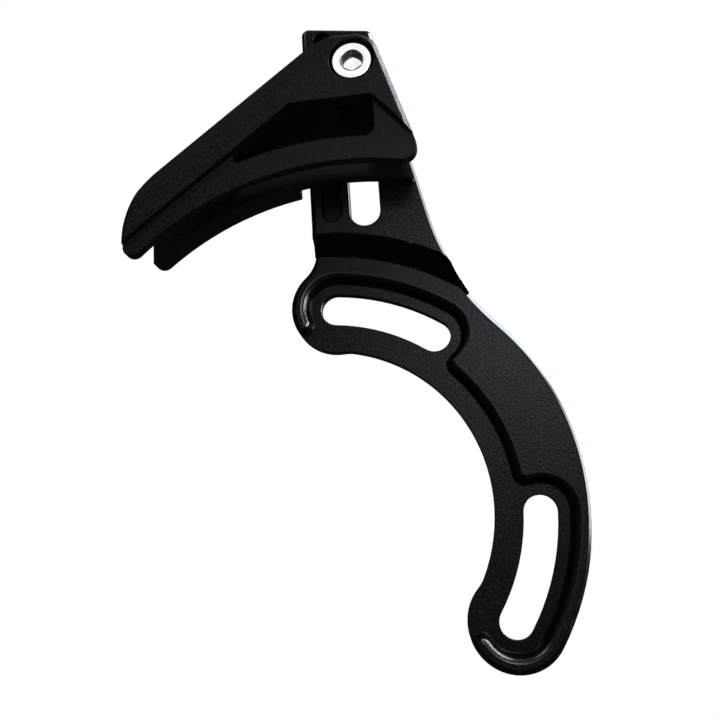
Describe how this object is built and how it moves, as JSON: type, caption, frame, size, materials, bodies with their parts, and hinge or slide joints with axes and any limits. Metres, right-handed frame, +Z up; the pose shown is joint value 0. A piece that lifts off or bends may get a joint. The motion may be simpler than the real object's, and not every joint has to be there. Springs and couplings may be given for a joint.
{
  "type": "bicycle chain guide",
  "caption": "Bicycle chain guide: machined plate with curved mounting slots round the crank, a slotted tower, and a moulded guide clamped to it with walls on both sides of the chain.",
  "frame": {"origin": "on the crank axis, in the plane of the ring's mounting face", "axes": "+Z up along the tower, +X towards the front of the bicycle, +Y inboard out of the mounting face"},
  "size_m": [0.0897, 0.0251, 0.1437],
  "materials": {
    "black_anodised_aluminium": "bead blasted and black anodised, with polished edge chamfers",
    "black_nylon": "satin moulded nylon",
    "plated_steel": "bright nickel plating"
  },
  "bodies": {
    "plate": {"mounting_plate": "black_anodised_aluminium"},
    "guide": {"inner_guide": "black_nylon", "outer_guide": "black_nylon", "clamp_screw": "plated_steel", "clamp_nut": "plated_steel"}
  },
  "joints": [
    {"name": "guide_height", "type": "slide", "parent": "plate", "child": "guide", "axis": [0, 0, 1], "range_m": [-0.024, 0.01]}
  ]
}
